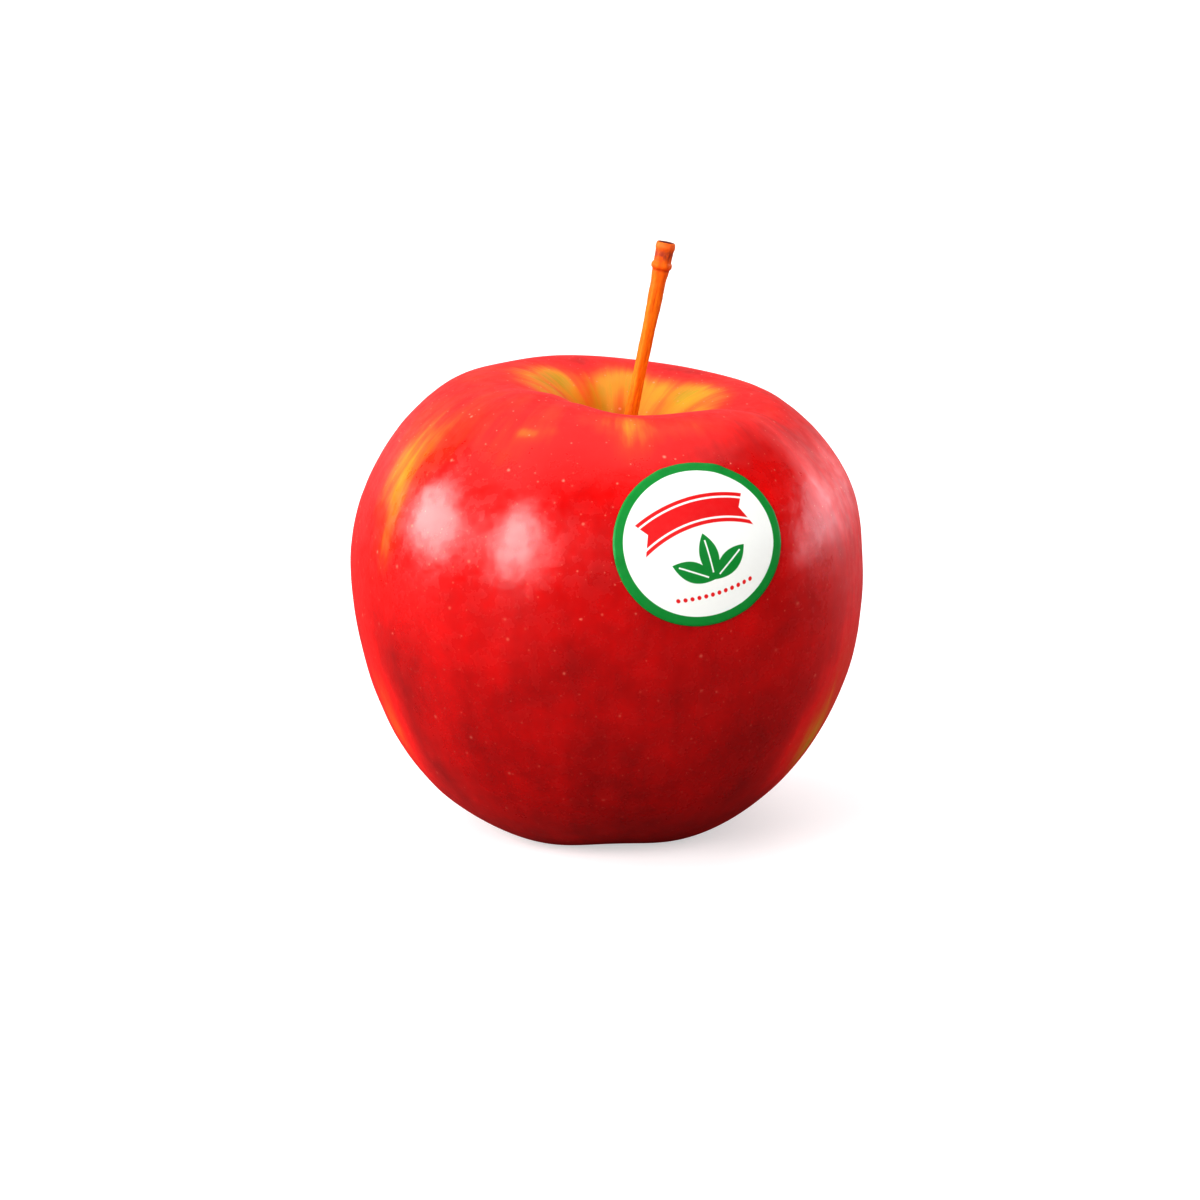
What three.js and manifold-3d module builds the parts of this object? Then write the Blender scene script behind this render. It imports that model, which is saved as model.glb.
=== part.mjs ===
// A fresh red apple, as picked, standing on a table. Units are millimetres and +Z is up.
// The fruit grew as one piece round its core, so it is one solid. The stem, the five dried sepals and the
// dried stamens in the eye underneath are pieces of their own, and so is the paper label on the skin.
// The origin is on the table, under the middle of the whole apple's outline.

import * as THREE from "three";
import { ParametricGeometry } from "three/addons/geometries/ParametricGeometry.js";
import { mergeVertices } from "three/addons/utils/BufferGeometryUtils.js";
import Module from "manifold-3d";

// ---------------------------------------------------------------------------------------------------
// Driving dimensions. Angles are in degrees. An azimuth of 0 is +X, and -90 is the front, -Y.

const FRUIT = {
  girthRadius: 33.1, // half the widest width
  girthHeight: 35.2, // height at which it is widest
  crownHeight: 58.3, // height of the shoulders round the stem's cavity
  crownRadius: 16.2, // radius of the ring along the tops of the shoulders
  standingRadius: 8.2, // radius of the ring that it stands on
  shoulderFullness: -0.028, // over 0 is squarer than an ellipse, under 0 is leaner
  baseFullness: 0.013,
  flatDepth: 0.35, // how much of each foot is worn flat where it stands
  crownShift: 1.6, // how far the stem's cavity stands off the middle, towards +X
  feetShift: -0.4, // and the ring of feet, which stands off the other way
};

const STEM_CAVITY = { throatDepth: 3.2, throatRadius: 5.5 }; // the funnel at the bottom of the top hollow
const EYE_BASIN = { throatDepth: 6, throatRadius: 6.5 }; // and that of the hollow underneath, round the eye

// Low lobes lie over the seed chambers, and the feet are where they end.
const LOBES = {
  count: 5,
  azimuth: -48,
  heightAtFeet: 0.4,
  heightAtGirth: 0.16,
  heightAtCrown: 0.3,
  fadeRadius: 5.3, // lobes and furrows fade out inside this radius, towards the core's line
};

// One shoulder grew fuller than the other.
const FULL_SHOULDER = { azimuth: 160, height: 1.4 };

// Furrows run down from the crown. Width is half the furrow's width, as an angle.
const FURROWS = [
  { azimuth: -83, depth: 0.3, width: 12 },
  { azimuth: -121, depth: 0.3, width: 5 },
  { azimuth: -14, depth: 0.9, width: 9 },
  { azimuth: 62, depth: 0.35, width: 11 },
  { azimuth: 141, depth: 0.6, width: 10 },
];

const STEM = {
  seatDepth: 3, // how far its foot goes into the flesh
  rise: 30.2, // from the cavity's floor to its tip
  lean: 6.5, // how far its tip stands to the side of its foot
  leanAzimuth: 10,
  footRadius: 0.95,
  shaftRadius: 0.78,
  shoulderRadius: 0.95, // just under the collar
  collarRadius: 1.24, // the ring where it grew from the twig
  neckRadius: 1.02, // between the collar and the broken end
  endRadius: 1.16,
  collarBelowTip: 3.3,
  collarHalf: 0.75, // half the collar's length
  edge: 0.2, // how far its two ends are rounded over
};

const CALYX_TUBE = { mouthRadius: 2.6, endRadius: 1.9, depth: 4.2 }; // the small tube above the eye

const SEPALS = {
  count: 5,
  azimuth: -12,
  ringRadius: 4.1, // radius of the ring that they are seated on
  width: 2.8,
  thickness: 0.5,
  closing: 1.9, // how far they lean in over the eye
  curlBack: 1.1, // how far their tips turn out again
  cupping: 0.3, // how far their edges bend in
  tipHeight: 1.1, // height of their tips over the table
};

const STAMENS = {
  count: 10,
  ringRadius: 0.75,
  footRadius: 0.26,
  tipRadius: 0.16,
  splay: 0.25, // how far a tip stands outside its foot
  tipHeight: 2.4, // height of their tips over the table
  discRadius: 1.45, // the dried disc that they stand on
  discThickness: 0.7,
};

const LABEL = {
  azimuth: -70,
  height: 45.3, // height of its middle, on the profile
  width: 22.4,
  tall: 20.4,
  tilt: 12, // how far it is turned on the skin, anticlockwise over 0
  thickness: 0.3,
};

const SEAT_GAP = 0.3; // clearance where one piece is seated on or in another

// Facets round and along each piece. The label's second number is odd, for its two faces and its edge.
const FACETS = { fruit: [72, 54], stem: [14, 44], sepal: [12, 12], label: [36, 13], round: 20, stamen: 6 };

const FINISHES = {
  skin: { color: 0xb0121a, roughness: 0.32, metalness: 0 },
  stem: { color: 0xc87426, roughness: 0.65, metalness: 0 },
  sepal: { color: 0x6d5233, roughness: 0.9, metalness: 0 },
  stamen: { color: 0x4b3524, roughness: 0.95, metalness: 0 },
  label: { color: 0xf3f3f0, roughness: 0.4, metalness: 0 },
};

// ---------------------------------------------------------------------------------------------------
// Tools

const wasm = await Module();
wasm.setup();

const WELD = 1e-4; // vertices closer than this are one vertex
const UP = new THREE.Vector3(0, 0, 1);
const CROWN_TURN = Math.PI / 2;
const radians = THREE.MathUtils.degToRad;
const smoothstep = THREE.MathUtils.smoothstep;

/** The geometry with only its positions, each vertex once. */
function bare(geometry) {
  const positions = geometry.clone();
  positions.deleteAttribute("normal");
  positions.deleteAttribute("uv");
  return mergeVertices(positions, WELD);
}

/** A surface that closes at both ends: v runs from its lower pole to its upper one, and u goes round. */
function closedSurface(pointAt, [around, along]) {
  return bare(new ParametricGeometry(pointAt, around, along));
}

function toSolid(geometry) {
  const welded = bare(geometry);
  return new wasm.Manifold(
    new wasm.Mesh({
      numProp: 3,
      vertProperties: welded.attributes.position.array,
      triVerts: new Uint32Array(welded.index.array),
    }),
  );
}

function toGeometry(solid) {
  const { vertProperties, triVerts } = solid.getMesh();
  return new THREE.BufferGeometry()
    .setAttribute("position", new THREE.BufferAttribute(vertProperties, 3))
    .setIndex(new THREE.BufferAttribute(triVerts, 1));
}

/** A round peg along Z, its lower end at z. */
function peg(lowRadius, highRadius, length, x, z, facets = FACETS.round) {
  return new THREE.CylinderGeometry(highRadius, lowRadius, length, facets)
    .rotateX(Math.PI / 2)
    .translate(x, 0, z + length / 2);
}

function makePiece(name, geometry, finish) {
  geometry.computeVertexNormals();
  const mesh = new THREE.Mesh(geometry, new THREE.MeshStandardMaterial(finish));
  mesh.name = name;
  return mesh;
}

/** The place between low and high where f changes sign. */
function rootOf(f, low, high) {
  const sign = Math.sign(f(low));
  for (let halving = 0; halving < 60; halving++) {
    const middle = (low + high) / 2;
    if (Math.sign(f(middle)) === sign) low = middle;
    else high = middle;
  }
  return (low + high) / 2;
}

// ---------------------------------------------------------------------------------------------------
// The skin. An apple is a ring of flesh swollen round its core, so its profile is a fat ring's. The turn
// is the angle round the ring's section: 0 at the girth, 90 degrees at the crown and -90 at the feet.
// Past those it turns in to the core's line, which it meets at two poles, and that makes both hollows.

/** Distance from the core's line, and height, of the skin before its lobes and furrows. */
function profile(turn) {
  const s = Math.sin(turn);
  const between = (atFeet, atCrown) => (atFeet + atCrown) / 2 + ((atCrown - atFeet) / 2) * s;
  const ring = between(FRUIT.standingRadius, FRUIT.crownRadius);
  const fullness = between(FRUIT.baseFullness, FRUIT.shoulderFullness);
  const reach = between(FRUIT.girthHeight, FRUIT.crownHeight - FRUIT.girthHeight);
  const across = (1 + fullness) * Math.cos(turn) - fullness * Math.cos(3 * turn);
  const upwards = (1 + fullness) * s + fullness * Math.sin(3 * turn);
  const radius = ring + (FRUIT.girthRadius - ring) * across;
  const hollow = s > 0 ? STEM_CAVITY : EYE_BASIN;
  const throat = hollow.throatDepth * Math.exp(-((radius / hollow.throatRadius) ** 2));
  return { radius, height: FRUIT.girthHeight + reach * upwards - Math.sign(s) * throat };
}

const TOP_POLE = rootOf((turn) => profile(turn).radius, CROWN_TURN, Math.PI);
const LOW_POLE = rootOf((turn) => profile(turn).radius, -CROWN_TURN, -Math.PI);

/** How far the skin stands proud of the profile. */
function swelling(turn, azimuth, radius) {
  const s = Math.sin(turn);
  const nearCrown = smoothstep(s, 0.2, 1);
  const nearFeet = smoothstep(-s, -0.2, 1);
  const lobe =
    LOBES.heightAtGirth +
    (LOBES.heightAtCrown - LOBES.heightAtGirth) * nearCrown +
    (LOBES.heightAtFeet - LOBES.heightAtGirth) * nearFeet;
  let proud = lobe * Math.cos(LOBES.count * (azimuth - radians(LOBES.azimuth)));
  proud += FULL_SHOULDER.height * nearCrown * Math.cos(azimuth - radians(FULL_SHOULDER.azimuth));
  for (const furrow of FURROWS) {
    const aside = (Math.cos(azimuth - radians(furrow.azimuth)) - 1) / radians(furrow.width) ** 2;
    proud -= furrow.depth * smoothstep(s, -0.3, 0.9) * Math.exp(aside);
  }
  return proud * (1 - Math.exp(-((radius / LOBES.fadeRadius) ** 2)));
}

/** The skin's distance from the core's line, and its height, before it stands on anything. */
function hangingPoint(turn, azimuth) {
  const { radius, height } = profile(turn);
  const proud = swelling(turn, azimuth, radius);
  return { out: radius + proud * Math.cos(turn), up: height + proud * Math.sin(turn) };
}

function lowestHeight(azimuth) {
  let lowest = Infinity;
  for (let turn = LOW_POLE; turn < 0; turn += 0.01) {
    lowest = Math.min(lowest, hangingPoint(turn, azimuth).up);
  }
  return lowest;
}

// The five feet touch the table here, and each is worn flat by flatDepth.
const TABLE = lowestHeight(radians(LOBES.azimuth)) + FRUIT.flatDepth;

/** The point of the skin at a turn and an azimuth. */
function skinPoint(turn, azimuth, point = new THREE.Vector3()) {
  const { out, up } = hangingPoint(turn, azimuth);
  const s = Math.sin(turn);
  const shift = FRUIT.crownShift * smoothstep(s, 0, 1) + FRUIT.feetShift * smoothstep(-s, 0, 1);
  return point.set(out * Math.cos(azimuth) + shift, out * Math.sin(azimuth), Math.max(up - TABLE, 0));
}

/** The skin's outward direction there. */
function skinNormal(turn, azimuth) {
  const step = 0.01;
  const alongTurn = skinPoint(turn + step, azimuth).sub(skinPoint(turn - step, azimuth));
  const round = skinPoint(turn, azimuth + step).sub(skinPoint(turn, azimuth - step));
  return round.cross(alongTurn).normalize();
}

/** The turn, between two others, at which the skin is at this distance from the core's line. */
function turnAtRadius(radius, low, high) {
  return rootOf((turn) => profile(turn).radius - radius, low, high);
}

const CAVITY_FLOOR = skinPoint(TOP_POLE, 0);
const EYE = skinPoint(LOW_POLE, 0);

// ---------------------------------------------------------------------------------------------------
// The line on which the stem grew, from its foot in the flesh to its tip.

const STEM_LEANS_TO = new THREE.Vector3(1, 0, 0).applyAxisAngle(UP, radians(STEM.leanAzimuth));
const STEM_HEIGHT = STEM.seatDepth + STEM.rise;

function onStemPlane(leanShare, heightShare) {
  return new THREE.Vector3(CAVITY_FLOOR.x, 0, CAVITY_FLOOR.z - STEM.seatDepth)
    .addScaledVector(STEM_LEANS_TO, STEM.lean * leanShare)
    .addScaledVector(UP, STEM_HEIGHT * heightShare);
}

const STEM_LINE = new THREE.CubicBezierCurve3(
  onStemPlane(0, 0),
  onStemPlane(0.3, 0.3),
  onStemPlane(0.64, 0.62),
  onStemPlane(1, 1),
);
const STEM_LENGTH = STEM_LINE.getLength();

/** Turns an outline round the stem's line. The outline's heights are distances along the line. */
function turnedOnStemLine(outline) {
  const turned = bare(new THREE.LatheGeometry(outline, FACETS.stem[0]));
  const sideways = new THREE.Vector3().crossVectors(STEM_LEANS_TO, UP);
  const position = turned.attributes.position;
  for (let i = 0; i < position.count; i++) {
    const distance = position.getY(i);
    const onLine = THREE.MathUtils.clamp(distance, 0, STEM_LENGTH);
    const tangent = STEM_LINE.getTangentAt(onLine / STEM_LENGTH);
    const inPlane = new THREE.Vector3().crossVectors(tangent, sideways);
    const point = STEM_LINE.getPointAt(onLine / STEM_LENGTH)
      .addScaledVector(tangent, distance - onLine)
      .addScaledVector(inPlane, position.getX(i))
      .addScaledVector(sideways, position.getZ(i));
    position.setXYZ(i, point.x, point.y, point.z);
  }
  return turned;
}

// ---------------------------------------------------------------------------------------------------
// The fruit, with a seat for the stem's foot in the cavity and the calyx tube over the eye.

function makeFruit() {
  const skin = closedSurface((u, v, point) => {
    skinPoint(LOW_POLE + (TOP_POLE - LOW_POLE) * v, 2 * Math.PI * u, point);
  }, FACETS.fruit);
  const seatRadius = STEM.footRadius + SEAT_GAP;
  const seat = turnedOnStemLine([
    new THREE.Vector2(0, -SEAT_GAP),
    new THREE.Vector2(seatRadius, -SEAT_GAP),
    new THREE.Vector2(seatRadius, 2 * STEM.seatDepth),
    new THREE.Vector2(0, 2 * STEM.seatDepth),
  ]);
  const { mouthRadius, endRadius, depth } = CALYX_TUBE;
  const slope = (mouthRadius - endRadius) / depth;
  const tube = peg(mouthRadius + slope * depth, endRadius, 2 * depth, EYE.x, EYE.z - depth);
  return toGeometry(toSolid(skin).subtract(toSolid(seat)).subtract(toSolid(tube)));
}

// ---------------------------------------------------------------------------------------------------
// The stem

function makeStem() {
  const collar = STEM_LENGTH - STEM.collarBelowTip;
  const outline = new THREE.Path();
  outline.moveTo(0, 0);
  outline.lineTo(STEM.footRadius - STEM.edge, 0);
  outline.splineThru([
    new THREE.Vector2(STEM.footRadius, STEM.edge),
    new THREE.Vector2(STEM.footRadius, STEM.seatDepth),
    new THREE.Vector2(STEM.shaftRadius, STEM_LENGTH * 0.4),
    new THREE.Vector2(STEM.shaftRadius, STEM_LENGTH * 0.65),
    new THREE.Vector2(STEM.shoulderRadius, collar - 2 * STEM.collarHalf),
    new THREE.Vector2(STEM.collarRadius, collar),
    new THREE.Vector2(STEM.neckRadius, collar + 1.7 * STEM.collarHalf),
    new THREE.Vector2(STEM.endRadius, STEM_LENGTH - 2 * STEM.edge),
    new THREE.Vector2(STEM.endRadius - STEM.edge, STEM_LENGTH),
  ]);
  outline.lineTo(0, STEM_LENGTH);
  return turnedOnStemLine(outline.getSpacedPoints(FACETS.stem[1]));
}

// ---------------------------------------------------------------------------------------------------
// The eye: five dried sepals round its mouth, and the stamens' tuft in the calyx tube.

function makeSepal(azimuth) {
  const turn = turnAtRadius(SEPALS.ringRadius, LOW_POLE, -CROWN_TURN);
  const clearance = SEAT_GAP + SEPALS.thickness / 2;
  const seat = skinPoint(turn, azimuth).addScaledVector(skinNormal(turn, azimuth), clearance);
  const outwards = new THREE.Vector3(Math.cos(azimuth), Math.sin(azimuth), 0);
  const across = new THREE.Vector3().crossVectors(outwards, UP);
  const footRadius = seat.clone().setX(seat.x - EYE.x).dot(outwards);
  const drop = seat.z - SEPALS.tipHeight;
  const closed = footRadius - SEPALS.closing;
  const line = new THREE.CubicBezierCurve(
    new THREE.Vector2(footRadius, seat.z),
    new THREE.Vector2(closed, seat.z - drop * 0.1),
    new THREE.Vector2(closed, seat.z - drop * 0.7),
    new THREE.Vector2(closed + SEPALS.curlBack, SEPALS.tipHeight),
  );
  return closedSurface((u, v, point) => {
    const middle = line.getPointAt(v);
    const tangent = line.getTangentAt(v);
    const roundFoot = Math.sqrt(1 - (1 - Math.min(v / 0.15, 1)) ** 2);
    const halfWidth = (SEPALS.width / 2) * roundFoot * (1 - v ** 2.2);
    const halfThickness = (SEPALS.thickness / 2) * roundFoot * Math.sqrt(1 - v ** 6);
    const sideways = halfWidth * Math.sin(2 * Math.PI * u);
    const bend = SEPALS.cupping * (sideways / (SEPALS.width / 2)) ** 2;
    const proud = halfThickness * Math.cos(2 * Math.PI * u) - bend;
    point.set(EYE.x, 0, 0).addScaledVector(outwards, middle.x - tangent.y * proud);
    point.addScaledVector(across, sideways);
    point.addScaledVector(UP, middle.y + tangent.x * proud);
  }, FACETS.sepal);
}

function makeStamenTuft() {
  const discBottom = EYE.z + CALYX_TUBE.depth - SEAT_GAP - STAMENS.discThickness;
  const disc = peg(STAMENS.discRadius, STAMENS.discRadius, STAMENS.discThickness, EYE.x, discBottom);
  const length = discBottom - STAMENS.tipHeight;
  const sunk = STAMENS.discThickness / 2;
  const lean = Math.atan(STAMENS.splay / length);
  let tuft = toSolid(disc);
  for (let i = 0; i < STAMENS.count; i++) {
    const stamen = peg(STAMENS.tipRadius, STAMENS.footRadius, length + sunk, 0, -length, FACETS.stamen)
      .rotateY(-lean)
      .translate(STAMENS.ringRadius, 0, discBottom)
      .rotateZ((2 * Math.PI * i) / STAMENS.count)
      .translate(EYE.x, 0, 0);
    tuft = tuft.add(toSolid(stamen));
  }
  return toGeometry(tuft);
}

// ---------------------------------------------------------------------------------------------------
// The label: an oval of paper that follows the skin.

function makeLabel() {
  const middleTurn = rootOf((turn) => profile(turn).height - LABEL.height, -CROWN_TURN, CROWN_TURN);
  const middleAzimuth = radians(LABEL.azimuth);
  const step = 0.01;
  const upSpeed = skinPoint(middleTurn + step, middleAzimuth)
    .distanceTo(skinPoint(middleTurn - step, middleAzimuth)) / (2 * step);
  const [, along] = FACETS.label;
  const tilt = radians(LABEL.tilt);
  return closedSurface((u, v, point) => {
    const onInside = v < 0.5;
    const share = Math.min(1, ((onInside ? v : 1 - v) * 2 * along) / (along - 1));
    const x = (LABEL.width / 2) * share * Math.cos(2 * Math.PI * u);
    const y = (LABEL.tall / 2) * share * Math.sin(2 * Math.PI * u);
    const turn = middleTurn + (x * Math.sin(tilt) + y * Math.cos(tilt)) / upSpeed;
    const azimuth = middleAzimuth + (x * Math.cos(tilt) - y * Math.sin(tilt)) / profile(turn).radius;
    const lift = SEAT_GAP + (onInside ? 0 : LABEL.thickness);
    skinPoint(turn, azimuth, point).addScaledVector(skinNormal(turn, azimuth), lift);
  }, FACETS.label);
}

// ---------------------------------------------------------------------------------------------------
// The whole apple

const apple = new THREE.Group();
apple.add(makePiece("fruit", makeFruit(), FINISHES.skin));
apple.add(makePiece("stem", makeStem(), FINISHES.stem));
for (let i = 0; i < SEPALS.count; i++) {
  const azimuth = radians(SEPALS.azimuth) + (2 * Math.PI * i) / SEPALS.count;
  apple.add(makePiece(`sepal_${i + 1}`, makeSepal(azimuth), FINISHES.sepal));
}
apple.add(makePiece("stamen_tuft", makeStamenTuft(), FINISHES.stamen));
apple.add(makePiece("label", makeLabel(), FINISHES.label));

const outline = new THREE.Box3().setFromObject(apple);
const middle = outline.getCenter(new THREE.Vector3());
apple.position.set(-middle.x, -middle.y, 0);

export default apple;
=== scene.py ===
"""A fresh red apple with its stem, its dried eye and a paper label, on a pale floor in soft light."""

import math

import bpy
from mathutils import Matrix, Vector, noise
from mathutils.bvhtree import BVHTree


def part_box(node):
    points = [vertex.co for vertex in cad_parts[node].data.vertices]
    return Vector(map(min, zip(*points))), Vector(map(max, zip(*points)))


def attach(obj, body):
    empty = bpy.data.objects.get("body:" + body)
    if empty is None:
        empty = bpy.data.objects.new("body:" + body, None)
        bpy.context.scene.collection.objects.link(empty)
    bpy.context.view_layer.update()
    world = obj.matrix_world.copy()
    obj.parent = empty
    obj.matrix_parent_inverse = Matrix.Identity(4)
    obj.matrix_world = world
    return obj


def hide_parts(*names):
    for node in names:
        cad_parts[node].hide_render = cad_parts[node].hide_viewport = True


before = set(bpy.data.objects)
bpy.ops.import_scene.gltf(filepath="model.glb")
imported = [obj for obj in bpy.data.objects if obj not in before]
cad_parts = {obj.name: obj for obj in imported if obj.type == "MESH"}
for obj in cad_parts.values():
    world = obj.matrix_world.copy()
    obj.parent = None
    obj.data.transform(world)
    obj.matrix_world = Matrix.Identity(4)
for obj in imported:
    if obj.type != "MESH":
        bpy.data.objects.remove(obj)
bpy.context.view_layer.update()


# ---------------------------------------------------------------------------------------------------------
# The fruit: one swollen body of crisp flesh in a thin waxed skin, which turns in round the stem above and
# round the eye below. It grew whole on its twig, and stands on five feet. The red lies in streaks over a
# golden ground, thickest where the sun reached it, and gives out in the stem's cavity.

MM = 0.001


class Socket:
    """An output in a node tree. An expression on it adds the tree's Math nodes."""

    def __init__(self, nodes, socket):
        self.nodes = nodes
        self.socket = socket

    def math(self, operation, *others):
        return self.nodes.add("ShaderNodeMath", {"operation": operation}, (self, *others))

    def __add__(self, other):
        return self.math("ADD", other)

    def __sub__(self, other):
        return self.math("SUBTRACT", other)

    def __mul__(self, other):
        return self.math("MULTIPLY", other)

    def __truediv__(self, other):
        return self.math("DIVIDE", other)

    def __pow__(self, power):
        return self.math("POWER", power)

    def __rsub__(self, other):
        return self * -1 + other

    __radd__ = __add__
    __rmul__ = __mul__

    def sine(self):
        return self.math("SINE")

    def cosine(self):
        return self.math("COSINE")

    def exp(self):
        return self.math("EXPONENT")

    def size(self):
        return self.math("ABSOLUTE")

    def bell(self, middle, half_width):
        """1 at the middle, falling to about a third at half its width."""
        aside = (self - middle) / half_width
        return (aside * aside * -1).exp()

    def rising(self, low, high):
        """0 up to low, 1 from high on, and smooth between them. A low above high falls instead."""
        settings = {"interpolation_type": "SMOOTHSTEP"}
        inputs = {"Value": self, "From Min": low, "From Max": high}
        return self.nodes.add("ShaderNodeMapRange", settings, inputs)

    def output(self, name):
        """Another output of the same node."""
        return Socket(self.nodes, self.socket.node.outputs[name])


class Nodes:
    """A node tree that is written as expressions."""

    def __init__(self, tree):
        self.tree = tree

    def add(self, kind, settings, inputs, output=0):
        """A node of this kind. Its settings come first, then its inputs, each by its place or its name."""
        node = self.tree.nodes.new(kind)
        for name, value in settings.items():
            if name == "stops":
                self.set_stops(node.color_ramp, value)
            else:
                setattr(node, name, value)
        for key, value in inputs.items() if isinstance(inputs, dict) else enumerate(inputs):
            if isinstance(value, Socket):
                self.tree.links.new(value.socket, node.inputs[key])
            else:
                node.inputs[key].default_value = value
        return Socket(self, node.outputs[output]) if node.outputs else None

    def set_stops(self, ramp, stops):
        while len(ramp.elements) < len(stops):
            ramp.elements.new(1.0)
        for element, (place, stop) in zip(ramp.elements, stops):
            element.position = place
            element.color = stop

    def join(self, x, y, z):
        return self.add("ShaderNodeCombineXYZ", {}, (x, y, z))

    def split(self, vector):
        x = self.add("ShaderNodeSeparateXYZ", {}, (vector,))
        return x, x.output("Y"), x.output("Z")

    def scaled(self, vector, factor):
        return self.add("ShaderNodeVectorMath", {"operation": "SCALE"}, {"Vector": vector, "Scale": factor})

    def noise(self, vector, scale, detail=2.0):
        return self.add("ShaderNodeTexNoise", {}, {"Vector": vector, "Scale": scale, "Detail": detail})


class Growth(Nodes):
    """A Geometry Nodes tree with named sizes, which makes one plain mesh object."""

    def __init__(self, name, sizes):
        super().__init__(bpy.data.node_groups.new(name, "GeometryNodeTree"))
        self.name = name
        self.sizes = sizes
        self.tree.interface.new_socket("Mesh", in_out="OUTPUT", socket_type="NodeSocketGeometry")
        for size in sizes:
            self.tree.interface.new_socket(size, in_out="INPUT", socket_type="NodeSocketFloat")
        inputs = self.tree.nodes.new("NodeGroupInput")
        self.size = {size: Socket(self, inputs.outputs[size]) for size in sizes}

    def store(self, mesh, name, kind, value):
        """The mesh with a value kept at each of its points, for its material."""
        settings = {"data_type": kind}
        inputs = {"Geometry": mesh, "Name": name, "Value": value}
        return self.add("GeometryNodeStoreNamedAttribute", settings, inputs)

    def grown(self, mesh, material):
        """The finished object: the tree's result as a plain mesh, with no modifier left on it."""
        whole = self.add("GeometryNodeRealizeInstances", {}, (mesh,))
        dressed = self.add("GeometryNodeSetMaterial", {}, {"Geometry": whole, "Material": material})
        self.add("NodeGroupOutput", {}, (dressed,))
        piece = bpy.data.objects.new(self.name, bpy.data.meshes.new(self.name))
        bpy.context.scene.collection.objects.link(piece)
        modifier = piece.modifiers.new(self.name, "NODES")
        modifier.node_group = self.tree
        for item in self.tree.interface.items_tree:
            if item.in_out == "INPUT":
                modifier[item.identifier] = self.sizes[item.name]
        depsgraph = bpy.context.evaluated_depsgraph_get()
        result = bpy.data.meshes.new_from_object(
            piece.evaluated_get(depsgraph), preserve_all_data_layers=True, depsgraph=depsgraph
        )
        piece.modifiers.remove(modifier)
        piece.data = result
        result.shade_smooth()
        return piece


class Finish(Nodes):
    """A material of one shader."""

    def __init__(self, name):
        self.material = bpy.data.materials.new(name)
        self.material.use_nodes = True
        super().__init__(self.material.node_tree)
        self.tree.nodes.clear()

    def attribute(self, name, output):
        return self.add("ShaderNodeAttribute", {"attribute_name": name}, {}, output)

    def place(self):
        """The point of the object, in millimetres."""
        here = self.add("ShaderNodeTexCoord", {}, {}, "Object")
        return self.scaled(here, 1 / MM)

    def blended(self, share, first, second):
        """The first colour, with this share of the second."""
        return self.add("ShaderNodeMix", {"data_type": "RGBA"}, {0: share, 6: first, 7: second}, 2)

    def relief(self, height):
        """A height in millimetres, as the shader's normal."""
        return self.add("ShaderNodeBump", {}, {"Height": height, "Distance": MM})

    def shaded(self, inputs):
        shader = self.add("ShaderNodeBsdfPrincipled", {}, inputs)
        self.add("ShaderNodeOutputMaterial", {}, {"Surface": shader})
        return self.material


def tint(red, green, blue):
    """A screen colour, of 0 to 255 a part, as the light that the nodes work in."""
    shares = [part / 255 for part in (red, green, blue)]
    return tuple(s / 12.92 if s <= 0.04045 else ((s + 0.055) / 1.055) ** 2.4 for s in shares) + (1.0,)


SKIN = {
    "Girth radius": 33.1,
    "Girth height": 35.2,
    "Crown height": 58.3,
    "Crown radius": 16.2,
    "Standing radius": 8.2,
    "Shoulder fullness": -0.028,
    "Base fullness": 0.013,
    "Flat depth": 0.35,
    "Crown shift": 1.6,
    "Feet shift": -0.4,
    "Stem throat depth": 3.2,
    "Stem throat radius": 5.5,
    "Eye throat depth": 6.0,
    "Eye throat radius": 6.5,
    "Calyx tube depth": 4.2,
    "Calyx tube radius": 2.35,
    "Lobe azimuth": math.radians(-48),
    "Lobe at feet": 0.25,
    "Lobe at girth": 0.16,
    "Lobe at crown": 0.16,
    "Lobe fade radius": 5.3,
    "Full shoulder azimuth": math.radians(160),
    "Full shoulder height": 1.4,
    "Full flank azimuth": math.radians(-8),
    "Full flank height": 0.9,
    "Waviness": 0.5,
    "Dimples": 0.14,
    "Cavity flutes": 0.16,
    "Eye folds": 0.3,
}
LOBES = 5
CAVITY_FLUTES = 8
EYE_FOLDS = 11
FURROWS = [  # azimuth, depth and half width of the faint furrows that run down from the crown
    (-87, 0.15, 12),
    (-121, 0.4, 5),
    (-14, 0.9, 9),
    (141, 0.1, 10),
]
SWELLINGS = [  # azimuth, height and half width of the low swellings between them
    (126, 0.45, 17),
    (-130, 0.7, 15),
    (60, 0.3, 14),
]
MERIDIANS = 320
RINGS = 256
CROWDING = 0.6  # how much closer the rings lie at the two poles


def across_at(turn, size, sine, cosine):
    """The skin's distance from the core's line. The turn is 0 at the girth, a right angle at the crown."""
    middle = (size["Standing radius"] + size["Crown radius"]) * 0.5
    ring = middle + (size["Crown radius"] - size["Standing radius"]) * 0.5 * sine(turn)
    middle = (size["Base fullness"] + size["Shoulder fullness"]) * 0.5
    fullness = middle + (size["Shoulder fullness"] - size["Base fullness"]) * 0.5 * sine(turn)
    across = (fullness + 1) * cosine(turn) - fullness * cosine(turn * 3)
    return ring + (size["Girth radius"] - ring) * across


def pole(side):
    """The turn past the crown, or below the feet, at which the skin meets the core's line."""
    near = side * math.pi / 2
    far = side * math.pi
    for _ in range(60):
        middle = (near + far) / 2
        if across_at(middle, SKIN, math.sin, math.cos) > 0:
            near = middle
        else:
            far = middle
    return near


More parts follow.
